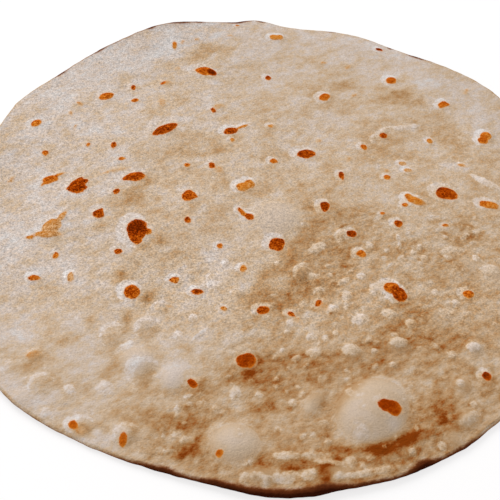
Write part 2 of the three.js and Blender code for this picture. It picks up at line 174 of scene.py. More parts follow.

# --------------------
# Toasted blisters: middle, length, width, turn of the length from +X, shade of the toast,
# power of the outline (2 oval, over 2 square, under 2 pointed), taper towards the far end,
# strength of the pale slope round it, partly painted highlight
# --------------------
FAINT, TAN, LIGHT, ORANGE, MIDDLE = 0.1, 0.16, 0.34, 0.44, 0.56
AMBER, DARK, DEEP, BLACK = 0.67, 0.78, 0.87, 0.98
Spot = namedtuple("Spot", "x y long wide turn shade power taper halo", defaults=(2, 0, 1))
SPOTS = [Spot(*row) for row in [
    (-22.4, 59, 7, 4.4, -12, MIDDLE, 1.7), (-20, 58.3, 3.8, 2.4, 120, BLACK),
    (-33.9, 72, 4.5, 1.5, 100, LIGHT), (-31.4, 74.2, 2, 1, 80, FAINT),
    (-35.8, 52.1, 2, 1.2, 60, DARK), (-34.5, 52.4, 2.4, 1.8, 20, FAINT),
    (-45, 49, 2.6, 1.6, 100, DARK), (-26.5, 76.3, 1.4, 1.1, 0, FAINT),
    (-31.6, 60.2, 1.4, 1.1, 0, FAINT), (-15.2, 79.5, 1.6, 0.9, 0, FAINT),
    (-13.2, 86.2, 1.4, 1, 0, MIDDLE), (0.1, 80.3, 3.6, 2.8, 8, LIGHT, 2.5),
    (1.8, 80.6, 2.6, 3, 8, LIGHT), (-1.6, 57.9, 2.6, 2, 100, DARK),
    (17, 49.2, 4.2, 3, 55, MIDDLE, 2.4), (36.2, 77.2, 2.6, 1.8, -25, BLACK),
    (25.1, 66, 2.2, 1.2, 55, FAINT), (17, 67.8, 1.6, 1.2, 0, FAINT),
    (26.8, 51.4, 1.8, 1.2, 45, FAINT), (39.3, 59.9, 3.8, 3.4, 80, MIDDLE, 2.6),
    (55.2, 48.6, 4.2, 2.4, 60, MIDDLE), (56.4, 48.8, 2.4, 1.8, 20, MIDDLE),
    (63.6, 56.2, 2.6, 0.9, 65, FAINT), (-52.9, 43.6, 5.2, 3.4, 35, MIDDLE, 1.8),
    (-60.6, 38.8, 2.6, 1.4, -45, FAINT), (-62.6, 33.8, 1.8, 1, 100, FAINT),
    (-60.2, 27.8, 1.8, 0.9, 75, FAINT), (-72.1, 28, 3.9, 2.8, 60, MIDDLE, 1.8),
    (-55, 20.1, 1.8, 1.3, 60, MIDDLE), (-47.3, 20.6, 3, 1.8, 95, DARK),
    (-67, 15.2, 2.4, 1.9, 110, MIDDLE), (-63.4, 4.3, 4.4, 3.2, 30, MIDDLE, 2.8),
    (-61.3, 6.5, 3.4, 1, 35, LIGHT), (-65, 2.4, 2.6, 0.9, 70, LIGHT),
    (-55.1, 2.3, 6.4, 5, 80, DARK, 2, -0.3), (-55.6, 3.6, 5.4, 1.9, 63, DARK, 1.7),
    (-56, 0.9, 4.4, 2.6, 0, DARK, 1.7), (-53.3, 4.3, 2.2, 2, 40, DARK),
    (-53, 1.6, 2, 1.7, 0, DARK), (-74.6, 3.2, 2.4, 1.2, 60, FAINT),
    (-45.6, 9.6, 6.4, 1, 22, FAINT), (-43.6, 42.4, 2.5, 2, 20, MIDDLE),
    (-35, 42.1, 3.2, 1.9, 110, FAINT), (-18.4, 39.3, 2.4, 1.6, 120, DARK),
    (-17, 41.3, 3, 2, 30, FAINT), (-32.6, 29.2, 9.4, 4, 38, DARK, 1.45),
    (-12.3, 29.9, 4.6, 2.9, 18, DARK, 2.2), (-8.6, 32.2, 4.2, 1.1, 32, LIGHT, 1.7),
    (-11.7, 25.9, 1.8, 1.3, 90, LIGHT), (-24.4, 14.2, 1.9, 1.8, 0, MIDDLE),
    (-17.1, 14.4, 2.8, 1.8, 105, DARK), (-14.9, 12.7, 3, 2, -50, FAINT),
    (-44, 15, 2.2, 1.5, 0, MIDDLE), (-39.6, 7.5, 7, 3.5, 22, DARK, 2, 0.4),
    (-43.7, 1, 2.6, 1.8, 55, DARK), (-22.4, 1, 4.7, 4.5, -9, AMBER, 1.7, -0.5),
    (-7.5, 5.7, 3.6, 3.7, 19, LIGHT), (-5.4, 7.2, 3, 3.7, 19, LIGHT),
    (0, 33.2, 1.9, 1.6, 0, LIGHT), (11.1, 21.8, 5.9, 4, 12, DARK, 1.75, 0, 0.6),
    (1.3, 17.6, 2.3, 2.2, 0, MIDDLE), (15.1, 28.2, 1.7, 1.3, 0, FAINT),
    (28.9, 26.5, 2.8, 1.9, 110, MIDDLE), (35.1, 32.1, 2.6, 2.4, 0, DARK),
    (24.1, 20.6, 1.8, 0.9, 80, FAINT), (21.7, 12.9, 3.6, 1.7, 100, DARK, 2, 0.3),
    (35.3, 13.7, 2.1, 2, 0, MIDDLE), (35.3, 16.8, 1.4, 1.1, 0, FAINT),
    (66.2, 32.3, 3.6, 3, 50, MIDDLE), (67.4, 34.4, 4.2, 3.6, 70, ORANGE),
    (49.6, 31, 2.3, 1.8, 100, LIGHT), (58.4, 20.4, 2.6, 1.2, -12, TAN),
    (40.4, 20.2, 2.2, 1.9, 0, TAN), (41.7, 17.4, 2.2, 1.6, 0, TAN),
    (52.5, 7.8, 6.4, 5, -24, DARK, 2.1, -0.2, 0.6), (43, 4.3, 6, 2.8, -24, LIGHT),
    (41.2, 5.8, 2.7, 2.3, -61, LIGHT), (39.8, 2.4, 2, 1.8, 60, MIDDLE),
    (64.4, 4.2, 5.6, 2.8, -12, ORANGE, 3), (16.5, -0.7, 4, 2.7, 90, DEEP, 2.2, 0.3),
    (3.1, -16, 4.5, 4.2, 80, DARK, 3, 0, 0.7), (23.9, -10.3, 2.8, 2.7, 0, DEEP, 2.6),
    (26.4, -17.5, 2.8, 2.8, 0, MIDDLE), (16.5, -17.8, 2, 0.9, 60, FAINT),
    (6.5, -18.8, 2.6, 1, 90, FAINT), (33.9, -29.2, 4.3, 3.8, 0, MIDDLE),
    (35.9, -31.2, 5.2, 3.8, -75, DARK, 2.3), (37.4, -5.1, 2.5, 2.8, 0, DARK),
    (50.6, -4.7, 1.6, 1, 10, MIDDLE), (33.1, -1.6, 1.4, 1.2, 0, MIDDLE),
    (14.5, -35.7, 2.6, 1.6, 70, DARK), (16, -36.6, 2.6, 1.8, -60, FAINT),
    (0.1, -38.9, 3.4, 2.5, 20, DARK, 2.4), (7.4, -39.8, 2.3, 1.6, -40, DARK),
    (9.4, -41.8, 3, 1.2, -50, FAINT), (-47.2, -8.1, 4, 3, 75, DARK, 1.8, -0.6),
    (-57.3, -10.7, 4.8, 1.7, 72, TAN), (-59.4, -14.4, 5.6, 4.6, 55, TAN, 2.3),
    (-59.9, -17.4, 7.4, 2.4, 4, TAN), (-64.5, -18.8, 2.2, 1.2, 15, LIGHT),
    (-56.4, -24.6, 2.3, 1.6, 100, MIDDLE), (-51.1, -31.7, 3.3, 1.8, 95, TAN, 2.6),
    (-60.6, -32.6, 3.2, 1.9, 0, MIDDLE),
    (-35.8, -14.3, 9.6, 5.4, 96, DARK, 2.1, 0.35, 1.7),
    (-36, -13.1, 5, 4.7, 0, BLACK), (-32.9, -14.1, 2.6, 2.6, -20, MIDDLE, 1.6),
    (-39.8, -21.9, 2.3, 2.1, 0, DARK), (-22.2, -8.6, 2.6, 1.8, 100, DARK),
    (-12.6, -17.5, 2.2, 1.7, 70, MIDDLE), (-5.7, -25.2, 2.7, 1.9, 80, LIGHT),
    (-7.1, -4.4, 4.2, 1.3, -55, MIDDLE), (-5, -6.1, 3.1, 2.3, -29, DARK),
    (-23.8, -30.4, 2.7, 2.2, 20, MIDDLE), (-17.4, -34, 3.3, 2.1, 5, DARK),
    (-34.4, -35.6, 4.8, 4.2, 100, AMBER), (-10.2, -39.3, 1.9, 1.5, -20, LIGHT),
    (-24.3, -39.4, 1.3, 0.8, 0, FAINT), (54.5, -29.5, 3, 2.8, 0, MIDDLE),
    (50.9, -4.8, 1.8, 1.3, 0, TAN), (-42.8, -75.6, 2.7, 2.2, -50, MIDDLE),
    (-41, -77, 3, 2, -30, FAINT), (-30.8, -79, 3.4, 2, 90, MIDDLE, 2.4),
    (-16.2, -62.6, 2.8, 2.2, -50, DARK, 2, 0, 0.3), (-8.5, -81.2, 2, 1.6, 90, MIDDLE),
    (-3.6, -54.9, 5, 4.2, 5, DARK, 2.6, 0.12, 0.3),
    (31, -67, 6, 3.8, -4, DARK, 2.2, 0.1), (31.7, -67.9, 3.4, 3, 0, AMBER),
    (56, -55.5, 2.8, 2.4, 100, DEEP), (-55.9, -57.3, 3.4, 2.2, 17, FAINT),
]]

# Toasted ground between the blisters: middle, length, width, turn, strength.
TOASTED = [
    (-23.6, 69.4, 16, 8, 35, 0.6), (-22, 82, 7, 3.5, 10, 0.4), (-38, 63, 6, 4, 0, 0.15),
    (-9, 64.5, 8, 4, 10, 0.25), (24.5, 55.8, 9, 5, 20, 0.35), (19.5, 83.6, 7, 2.5, 0, 0.15),
    (41.5, 53.5, 9, 6, 10, 0.4), (53, 54, 7, 4, 10, 0.25), (48, 49, 6, 4, 0, 0.2),
    (-79, 24, 28, 7, 75, 0.28), (-21, 19.5, 11, 3, 5, 0.25), (-36, 5, 8, 4, 35, 0.25),
    (-16, 24, 7, 5, 0, 0.15), (-38, -31, 6, 6, 0, 0.2),
    (-14, -27, 5, 7, 0, 0.12), (-66.5, -40, 4, 4, 0, 0.2),
    (58, 32, 6, 18, 0, 0.12), (-46, -12.5, 6, 3.2, -9, 0.3), (-35.2, 6.1, 2.3, 5, 5, 0.25),
    (-40.9, -1.3, 7.8, 3.5, 66, 0.25), (-22.7, 11, 3.5, 2.6, 5, 0.2),
    (-28.9, -16, 3.6, 4.6, 5, 0.2), (-33.5, -19.2, 3.9, 2.9, 31, 0.25),
    (-27.4, -7, 4.5, 3.9, 5, 0.15), (-20.3, 30, 4, 2.4, 50, 0.2), (-27.1, 20.3, 4, 2.4, 50, 0.2),
    (-13, 37.9, 4, 2.4, 50, 0.2), (19.8, 19.8, 4, 2, 40, 0.2), (33.8, 25.5, 4, 2.5, 30, 0.2),
    (51.9, 22.6, 6, 3, 20, 0.15),
    # The tan dents among the domes of the near left.
    (-48.6, -52.8, 5.9, 3.7, 17, 0.25), (-34.4, -45.3, 6.3, 2.6, 90, 0.35),
    (-28.8, -51.4, 7.1, 2.6, -58, 0.25), (-27, -62.2, 7.7, 3.1, 70, 0.3),
    (-32.2, -64.9, 3.9, 2.8, 39, 0.2), (-45.6, -71.1, 4.6, 2, -28, 0.25),
    (-31, -72.5, 4.2, 1.6, 15, 0.35), (-25.5, -71.3, 2.8, 1.4, 27, 0.3),
    (-24, -73.9, 3.7, 3.2, 4, 0.4), (-20.2, -72.1, 3.4, 3.1, 49, 0.4),
    (-17.2, -69.4, 2.5, 2.1, 49, 0.35), (-12.8, -73.7, 3.7, 4.3, 4, 0.2),
    (-13, -65.5, 4.8, 7.9, 4, 0.3), (-39.9, -76.8, 5.5, 4.2, 4, 0.3),
    (-56.6, -50, 1.5, 1.6, 4, 0.35), (-19.5, -52.3, 3.5, 1.8, 4, 0.35),
    (-24.9, -55.4, 2.6, 1.7, -30, 0.3), (-35.6, -58.5, 6, 2.3, 40, 0.2),
    (-43.6, -46.9, 3, 5.1, 4, 0.25), (-14, -55, 3, 3, 0, 0.25), (-25, -41, 1.4, 1.4, 0, 0.35),
    (-31.2, -72.3, 6.2, 3.7, -7, 0.45), (-46.5, -51.8, 6.3, 4.1, -19, 0.12),
    (-37, -72.7, 4.2, 3.8, 4, 0.15), (-35.9, -75.8, 5.2, 2.6, -13, 0.5),
    (-24.6, -72.6, 6.6, 3.2, -8, 0.25), (-40.3, -75.8, 2.8, 2.7, 4, 0.25),
    (-50.1, -52.6, 5, 3.4, -29, 0.12), (-26.6, -80.9, 3.7, 2, -13, 0.25),
    # The tan and the rusty ground of the near right, where the skin is crumpled.
    (7.5, -22, 2, 2.2, 0, 0.3), (-1.5, -35.5, 9, 4, 10, 0.25), (-3, -44, 7, 2.4, 30, 0.25),
    (9.6, -27, 4, 3, 40, 0.3), (15.5, -25.9, 4.3, 5.7, 4, 0.2), (21.9, -19.3, 4.4, 13, 4, 0.2),
    (39, -36, 8, 8, 0, 0.2),
    (41.3, -48.5, 8.2, 8.8, 4, 0.25), (17, -66.3, 4.5, 9, 4, 0.25), (39.4, -70.2, 6.7, 11, 4, 0.4),
    (45.5, -64.3, 5.9, 9.4, 60, 0.35), (56, -57.9, 4.5, 7.1, 4, 0.25), (0.5, -56.6, 3, 3, 0, 0.35),
    (12.6, -1.6, 6, 4.6, 60, 0.25), (0.5, -27, 9, 5, 60, 0.12),
    (7.7, -30.6, 6, 1.7, 67, 0.25), (17.8, -17.8, 6, 2.2, 78, 0.25), (16.1, -17.9, 1.1, 1.5, 4, 0.3),
    (14.8, -28.2, 6.1, 1.7, 19, 0.25), (17.3, -33.3, 3.2, 2.7, 4, 0.25),
    (33.6, -41.6, 2.6, 1.9, 4, 0.35), (39.5, -42.6, 4.6, 1.5, 32, 0.35),
    (47.2, -42.7, 3.3, 2.5, 16, 0.3), (50.9, -44.1, 6.2, 3.8, 4, 0.25),
    (41.1, -47.6, 3.6, 3.1, 4, 0.3), (31.4, -52.6, 3.8, 1.1, 26, 0.35), (46, -48, 8, 3, 10, 0.15),
    (37.2, -34.5, 5, 3, 0, 0.15), (52.4, -10.2, 4.4, 3.1, -9, 0.3), (58.5, -8.4, 4.4, 1.5, 23, 0.3),
    (61.5, -7.1, 1.4, 2, 5, 0.3), (56.2, -5, 5.5, 3.5, 17, 0.2), (50.7, -7.7, 1.4, 1.2, -37, 0.3),
    (60.9, 12.6, 3, 4.3, 5, 0.2), (56.5, -24, 7, 4, 20, 0.2),
    (10, -54.5, 2, 1.5, 16, 0.35), (11.5, -57.1, 1.5, 1.8, 4, 0.3), (15.7, -57.8, 2.5, 2.3, 4, 0.3),
    (12.6, -62.9, 2.1, 0.8, 37, 0.35), (19.2, -62.8, 4, 1.5, 89, 0.3), (19, -65.4, 4, 1.4, 80, 0.35),
    (15.7, -69.3, 3.5, 2.1, 26, 0.25), (15.4, -72.5, 4.2, 1.1, 4, 0.3), (10.8, -73, 0.9, 1.1, 4, 0.3),
    (15.7, -74.5, 2.8, 1.3, 4, 0.35), (23.1, -58.5, 2.2, 1.1, 36, 0.35),
    (25, -57.3, 2.7, 1.1, 36, 0.35), (21.4, -45.5, 4.4, 0.8, 88, 0.3),
    (28.8, -47.6, 3, 0.9, -21, 0.3), (19.9, -54.4, 3.2, 0.9, 27, 0.35), (4.1, -56.3, 4, 2.4, 4, 0.25),
    (26.7, -52.5, 5.4, 2.9, 27, 0.25), (16.2, -53.2, 4.2, 2.3, 21, 0.3),
    (0.1, -54.8, 2, 2.1, 4, 0.25), (-15.3, -67.3, 2.2, 1, 95, 0.3), (-16.9, -70.1, 1.9, 0.8, 4, 0.3),
    (-18.2, -72.1, 1.2, 1.1, 4, 0.35), (-13.7, -76.8, 4.2, 1.6, 96, 0.35),
    (0.5, -68.6, 4.6, 4, 26, 0.25), (-15.2, -81.4, 5.9, 3.9, -10, 0.35),
    (-2.5, -58.5, 6.5, 2.3, 16, 0.35), (-6.8, -60.5, 4, 1.4, 21, 0.25), (-0.5, -83.8, 4.6, 1.2, 26, 0.35),
    (0.8, -82.6, 1.8, 2, 4, 0.3), (-20.3, -75.5, 3, 2, 40, 0.25), (-24.2, -82.2, 4, 2, 10, 0.25),
    (39.4, -70.4, 2.7, 1.9, 43, 0.4), (42.8, -68.1, 1.6, 2.8, 4, 0.35), (45, -64.1, 1.9, 2.8, 4, 0.35),
    (47.5, -66.6, 4, 1, 80, 0.3), (46.4, -61, 2.4, 1.2, 60, 0.3), (40.9, -72.9, 3.4, 2.4, 25, 0.4),
    (54.6, -60.6, 3, 1.9, 51, 0.35), (50.8, -59.1, 4.2, 1.5, 79, 0.3), (40.7, -63.8, 2.9, 1.4, 61, 0.4),
    (40.3, -68.8, 6.2, 4.7, 25, 0.2), (43.6, -63.6, 5.5, 4.1, 35, 0.2), (57, -57.5, 4, 3, 0, 0.2),
    (17.6, -77.9, 3.3, 2, -2, 0.4), (14.5, -76.7, 1.4, 1.6, 4, 0.35), (12.1, -76.9, 3.7, 1.8, 9, 0.3),
    (8.2, -83.2, 7.8, 1.5, 15, 0.35), (14.5, -82.3, 7.7, 1.3, -2, 0.35), (15.7, -85, 2.5, 3.8, 4, 0.45),
    (22.2, -83.3, 1.6, 0.8, 4, 0.35), (38.8, -80.2, 3.4, 1.9, 19, 0.35), (6, -81.8, 9, 2, 9, 0.15),
    (55, -70, 6, 4, 40, 0.15), (60, -62, 6, 4, 50, 0.15), (64, -52, 8, 6, 30, 0.12),
    (45.2, -64.4, 5, 9.5, 15, 0.3), (41.3, -68.2, 5, 4.5, 4, 0.25), (42.4, -68.7, 8, 3, 52, 0.3),
    (-16.3, -73.9, 10.3, 4.8, 4, 0.35), (30, -77.5, 24, 9, 12, 0.2),
    (21.7, -62.3, 15, 3.5, 57, 0.5), (27.5, -56.7, 7.2, 2.9, 15, 0.2),
    # Trails of tan that run down the left past the biggest blisters.
    (-38, 0.5, 14, 4.4, 59, 0.25), (-45, -10.7, 11, 3.6, 55, 0.2), (-29, -16.7, 5.8, 5, -21, 0.35),
    (-34, -23.3, 14, 4.6, 59, 0.25), (-38, -30.3, 3.3, 2.7, 43, 0.25),
    (-30, -37, 10, 4, 72, 0.35), (-33, -42.3, 5.4, 4.4, 41, 0.25),
]

# The deepest toast, in folds beside the bubbles and the blisters, and between rim pillows.
SCORCHED = [
    (15.9, -84.6, 4.2, 6, 4, 0.42), (44.5, -67, 6, 9, 10, 0.2), (-15, -80.3, 7.5, 5.5, 10, 0.5),
    (-18, -73.4, 9, 4.5, 10, 0.16), (11.8, -83.2, 17, 1.9, 5, 0.2), (1.6, -83, 4.6, 3, -24, 0.35),
    (13.6, -87.5, 7, 2.6, -2, 0.35), (18.4, -81, 2.4, 3, 4, 0.25), (15.2, -86.4, 3, 5, 4, 0.2),
    (-2.6, -58.4, 8, 3, 16, 0.24), (55.5, -8.6, 10, 3.4, 10, 0.18),
    (29.6, -77, 12.5, 5, 12, 0.4), (31, -76.9, 7, 3.2, 8, 0.2),
    (34.7, -74, 5.6, 2.8, 25, 0.4), (20.3, -77.4, 5.6, 2.6, 4, 0.35),
    (26, -77.7, 6, 2, 15, 0.3), (29.3, -78.5, 3.4, 2.4, 20, 0.3), (38, -73.4, 9, 3.6, 18, 0.35),
    (-13.9, -77.7, 4, 2.5, 58, 0.3),
]

# Floury ground, paler than what surrounds it, and painted light on a shaded slope: middle, length, width,
# turn, strength below 0.
FLOURED_AND_LIT = [
    (56, 54, 62, 20, -39, -0.3), (-67, -18, 50, 12, 80, -0.2), (-40, -74, 44, 8, -28, -0.2),
    (60, -66, 26, 4, 47, -0.3),
    (-21.4, -64.7, 6.7, 9.1, 4, -0.25), (-72, 28, 20, 8, 65, -0.15), (-34, 72, 30, 8, 28, -0.1),
    (-59.8, -48.1, 9, 9, 0, -0.2), (-27, -68.7, 4.7, 3.3, 4, -0.25), (23, -68, 13, 18, 0, -0.25),
    (-30.8, -58.8, 5, 7, -8, -0.08), (51, -37, 14, 9, 0, -0.2), (-5, -77, 13, 10, 4, -0.25),
    (-35.3, 69.8, 10, 14, 6, -0.25), (48, 12, 44, 50, 0, -0.08), (-18.6, -55.8, 17, 12, 4, -0.22),
    (-3.5, -63, 15, 12, 27, -0.1), (-54, -28.7, 16, 11.4, 4, -0.15), (9, 38, 15, 22, 5, -0.12),
    (-12, -24, 10, 10, 0, -0.2), (-11.6, -50.8, 15, 8.7, 4, -0.15), (-20.4, -59, 8, 7, 4, -0.25),
    (55.4, 19.8, 6, 6.3, 5, -0.4), (38.6, 18.6, 9, 8, 19, -0.3), (46.5, 29, 10, 8, 25, -0.25),
    (66.3, 30.2, 14, 17, 5, -0.22), (-51.9, -42.7, 6.1, 6.6, 4, -0.27),
    (-35.5, -67.1, 5.7, 5.6, 4, -0.2), (-30.5, -59.6, 5.3, 5.9, 4, -0.12), (-32.4, -64, 4, 5, 4, -0.5),
    (-37.9, -59.5, 5.3, 3.8, -29, -0.17), (-52.2, -61.1, 4.3, 4.1, 4, -0.16),
    (-4.8, -67.2, 3.5, 4.6, 4, -0.6), (-0.6, -65, 2.8, 3.4, 4, -0.45),
    (5.4, -72.5, 4.4, 4.6, 4, -0.4), (11, -67.5, 5.3, 4.4, 4, -0.3),
    # The skin that the biggest bubble has stretched thin, and the ground past its far right. The last two
    # patches, on the bubble's near side, are painted light that lifts the shade of its slope.
    (40.9, -58.7, 4.4, 3.5, 4, -0.5), (44.4, -60.2, 3, 2.9, 4, -0.35), (36, -62, 6, 6, 4, -0.15),
    (31.9, -71, 4.3, 7.2, 4, -0.3), (26.7, -75, 9.7, 3.1, 15, -0.25),
]

# Broad warmer ground: towards the far side, and in bands across the near right.
WARMED = [
    (-30, 12, 44, 40, 40, 0.1), (8, 45, 40, 36, 30, 0.1),
    (9, -57, 44, 12, 11, 0.4), (38, -44, 32, 13, 21, 0.3), (-4, -72, 60, 18, 4, 0.26),
    (44, -62, 16, 22, -15, 0.2), (15, -80, 40, 5, 4, 0.3), (52, -74, 18, 5, 42, 0.3),
    (2.4, -57.3, 38, 17, 4, 0.22), (38.5, 28, 30, 15, 19, 0.3), (44, -18, 25, 15, 28, 0.2),
    (-13, 53, 12, 32, 5, 0.2), (-14.5, 21.4, 24, 12, 45, 0.15), (-56, -58, 11, 8.5, 4, 0.45),
    (33, -78, 24, 6, 34, 0.35), (-1.3, -85.5, 15, 4.5, -3, 0.35), (-21, -81, 17, 5, -12, 0.2),
    (20, -84.6, 23, 4, 12, 0.1), (49.6, -41.7, 22, 13, 16, 0.12),
]

# How far the dark rim, partly charred edge and partly painted shade, reaches in over the top: angle, mm,
# spread in degrees. Between these stretches it ends RIM_BARE mm down the side.
RIM_BARE = 1.2
CHARRED_AND_SHADED_RIM = [
    (-108, 0.5, 3), (-103.5, 1.4, 2.2), (-96, 0.8, 2.5), (-87, 2.4, 6.5), (-80, 1.3, 2),
    (-72, 0.9, 4.5), (-64.5, 2.1, 1.8), (-57, 1, 3), (-30, 0.7, 8), (15, 0.7, 7),
    (129, 0.85, 13), (104, 0.5, 8), (142, 1, 1.5), (131, 0.7, 1), (118, 0.9, 0.8), (111, 0.9, 1.8),
    (107, 0.8, 0.8), (98, 1.3, 2.4), (93, 1.2, 0.8), (77, 1.3, 1), (63, 1.4, 0.8),
    (56.5, 1.6, 2.4),
]

# --------------------
# Fineness of the mesh and size of its random relief
# --------------------
TOP_RINGS = 148
UNDER_RINGS = TOP_RINGS // 2
SECTORS = 6
EDGE_STEPS = 7  # rows of points round the soft corner, from the top's edge to the underside's
SEAM_WIDTH = 0.9  # mm from the end of the soft corner to the underside's outermost ring
SEED = 11  # each layer of noise adds its own offset to it
NOISE_TABLE = 128  # the noise repeats after this many cells

BLISTER_SKIRT = 1.3  # a blister's dome reaches this far past its toasted top
BLISTER_HEIGHT = 0.45
HEAVE_CELL, HEAVE_HEIGHT = 14, 0.1  # the slow unevenness all over the top
GRAIN_CELL = 1.8
FOLD_CELL, FOLD_HEIGHT = 5, 0.1  # the larger lumps of the crumpled skin
CREASE_CELL, CREASE_HEIGHT = 2.4, 0.08  # and the smaller ones
LUMP_STRETCH = 1.8  # length of a lump of the skin for each mm of its width
LUMP_MEAN = 0.6  # of the skin's lumps, where 0 is a valley and 1 the top of a lump
VALLEY = 0.26  # noise level that sets how wide the valleys between the skin's lumps are
BEAD_COUNT = 260
BEAD_HEIGHT = 0.17
BEAD_PALENESS = 0.45  # of a lump's
# paleness of a small dome's far left slope, towards the light: painted highlight
DOME_PAINTED_HIGHLIGHT = 0.55
SLOPE_SHIFT, SLOPE_SHARE = 0.26, 0.84  # of a small dome's size: where its painted shade lies
PALE_EDGE, PALE_FULL = -0.15, 0.3  # depth in mm where a lump's paleness starts and is whole
PALE_WAVER, SPOT_WAVER = 0.25, 0.22  # mm that the edges of pale lumps and of spots waver
SMOOTH_ABOVE = 0.6  # a bubble has stretched the skin smooth where it stands this high
BASE_TOAST = 0.38
PATCH_TOAST = 0.6  # the toast that a patch of strength 1 adds to the ground
DOME_PAINTED_SHADE = 0.2  # strength of the painted shade patch on a small dome's near right slope
TOAST_KNEE, TOAST_MORE = 0.58, 0.15  # overlapping patches add ever less past the knee
UNDERSIDE_SPOTS = 150
UNDERSIDE_HOLLOW = 0.3  # mm that the underside is hollowed between its resting places
SMUDGE = 0.3  # strength of the patch round a faint spot
FAINT_DEPTH = 0.0  # a faint spot stays this shallow, so the ground shows through it
OUTSIDE = 2.0  # depth fields stop this far outside the shape, in mm


# --------------------
# Shared shape functions, all on arrays
# --------------------
def ease(t):
    """Smooth step from 0 at t = 0 to 1 at t = 1."""
    t = np.clip(t, 0, 1)
    return t * t * (3 - 2 * t)


def rising(value, start, end):
    """Smooth step from 0 where a value is at its start to 1 where it is at its end."""
    return ease((value - start) / (end - start))


def round_the_rim(bumps, degrees):
    """Sum at each angle of bumps strung round the rim."""
    total = np.zeros_like(degrees)
    for at, out, spread in bumps:
        apart = (degrees - at + 180) % 360 - 180
        total += out * np.exp(-0.5 * (apart / spread) ** 2)
    return total


def turned(x, y, at_x, at_y, turn):
    """Coordinates along and across a shape whose length is turned from +X."""
    c, s = math.cos(math.radians(turn)), math.sin(math.radians(turn))
    return (x - at_x) * c + (y - at_y) * s, (y - at_y) * c - (x - at_x) * s


def lattice_noise(x, y, seed):
    """Smooth gradient noise of about -1 to 1, with one cell to each unit of x and y."""
    angle = np.random.default_rng(seed).uniform(0, 2 * math.pi, (NOISE_TABLE, NOISE_TABLE))
    column, row = np.floor(x).astype(int), np.floor(y).astype(int)
    u, v = x - column, y - row

    def corner(i, j):
        a = angle[(column + i) % NOISE_TABLE, (row + j) % NOISE_TABLE]
        return np.cos(a) * (u - i) + np.sin(a) * (v - j)

    across, up = ease(u), ease(v)
    low = corner(0, 0) * (1 - across) + corner(1, 0) * across
    high = corner(0, 1) * (1 - across) + corner(1, 1) * across
    return 1.4 * (low * (1 - up) + high * up)


def layered_noise(x, y, cell, seed, octaves=3):
    """Noise of a main cell size in mm, with finer, weaker layers on it."""
    total = np.zeros_like(x)
    for octave in range(octaves):
        size = cell / 2**octave
        total += lattice_noise(x / size, y / size, seed + octave) / 2**octave
    return total


def wavering(x, y, most, cell, seed):
    """Places shifted by up to about a given distance, so that the edges of shapes waver."""
    shift_x = most * layered_noise(x, y, cell, seed, 2)
    shift_y = most * layered_noise(x, y, cell, seed + 10, 2)
    return x + shift_x, y + shift_y


def lift(degrees, inset):
    """How far the bread has lifted off the table at a distance in from the rim."""
    return round_the_rim(CURLS, degrees) * np.clip(1 - inset / CURL_WIDTH, 0, None) ** 2


def dome(x, y, bubble, power=1.4):
    along, across = turned(x, y, bubble.x, bubble.y, bubble.turn)
    away = np.hypot(along / bubble.long, across / bubble.wide)
    return bubble.height * np.clip(1 - away**2, 0, None) ** power


def spot_depth(x, y, spot):
    """How far inside a toasted spot's edge each point lies, in mm: negative outside it."""
    along, across = turned(x, y, spot.x, spot.y, spot.turn)
    along = along * 2 / spot.long
    width = np.clip(1 + spot.taper * along, 0.2, None) * spot.wide
    across = across * 2 / width
    reach = (np.abs(along) ** spot.power + np.abs(across) ** spot.power) ** (1 / spot.power)
    return (1 - reach) * min(spot.long, spot.wide) / 2


def soft_patch(x, y, patch):
    """A patch of ground that fades from its middle: strength there, a little at its edge."""
    at_x, at_y, long, wide, turn, strength = patch
    along, across = turned(x, y, at_x, at_y, turn)
    away = np.hypot(along * 2 / long, across * 2 / wide)
    return PATCH_TOAST * strength * np.exp(-1.1 * away**2)


# --------------------
# Relief and toast of the top
# --------------------
def past_crumple_edge(x, y):
    """How far to the right of the edge of the crumpled skin each point lies, in mm."""
    return x - 0.58 * y - 13


def crumpled(x, y):
    """Where the skin is crumpled: 1 in the near right, less along the near rim, else 0."""
    near_right = rising(past_crumple_edge(x, y), 0, 9) * rising(y, 8, -4)
    near_rim = 0.55 * rising(y, -56, -70)
    return np.maximum(near_right, near_rim)


def tan_wedge(x, y):
    """The darker ground that starts sharply at the left edge of the crumpled skin."""
    past = past_crumple_edge(x, y)
    ends = rising(y, 4, -2) * rising(y, -46, -34)
    return rising(past, 0, 4) * (1 - rising(past, 14, 32)) * ends


def unstretched(x, y):
    """1 where the skin has kept its fine relief, down to 0 where a bubble stretches it."""
    return 1 - ease(bubble_relief(x, y) / SMOOTH_ABOVE)


def roll_height(x, y):
    total = np.zeros_like(x)
    for height, towards, wavelength, start in ROLLS:
        along = turned(x, y, 0, 0, towards)[0]
        total += height * np.sin(2 * math.pi * along / wavelength + start)
    return total


def scattered_beads():
    """Pinhead beads that steam has raised, most of them where the skin is crumpled."""
    rng = np.random.default_rng(SEED)
    beads = []
    while len(beads) < BEAD_COUNT:
        x, y = rng.uniform(-MEAN_RADIUS, MEAN_RADIUS, 2)
        keep = 0.03 + 0.97 * float(crumpled(np.array(x), np.array(y)))
        if math.hypot(x, y) > MEAN_RADIUS - 3 or rng.random() > keep:
            continue
        size = rng.uniform(0.4, 0.8)
        long = size * rng.uniform(1, 1.7)
        beads.append(Bubble(x, y, long, size, rng.normal(35, 25), 1))
    return beads


def bubble_relief(x, y):
    return sum(dome(x, y, bubble) for bubble in BUBBLES)


def near_to(x, y, shape, reach):
    return (np.abs(x - shape.x) < reach) & (np.abs(y - shape.y) < reach)


def highest_dome(x, y, domes):
    total = np.zeros_like(x)
    for each in domes:
        near = near_to(x, y, each, each.long)
        total[near] = np.maximum(total[near], dome(x[near], y[near], each, 1))
    return total


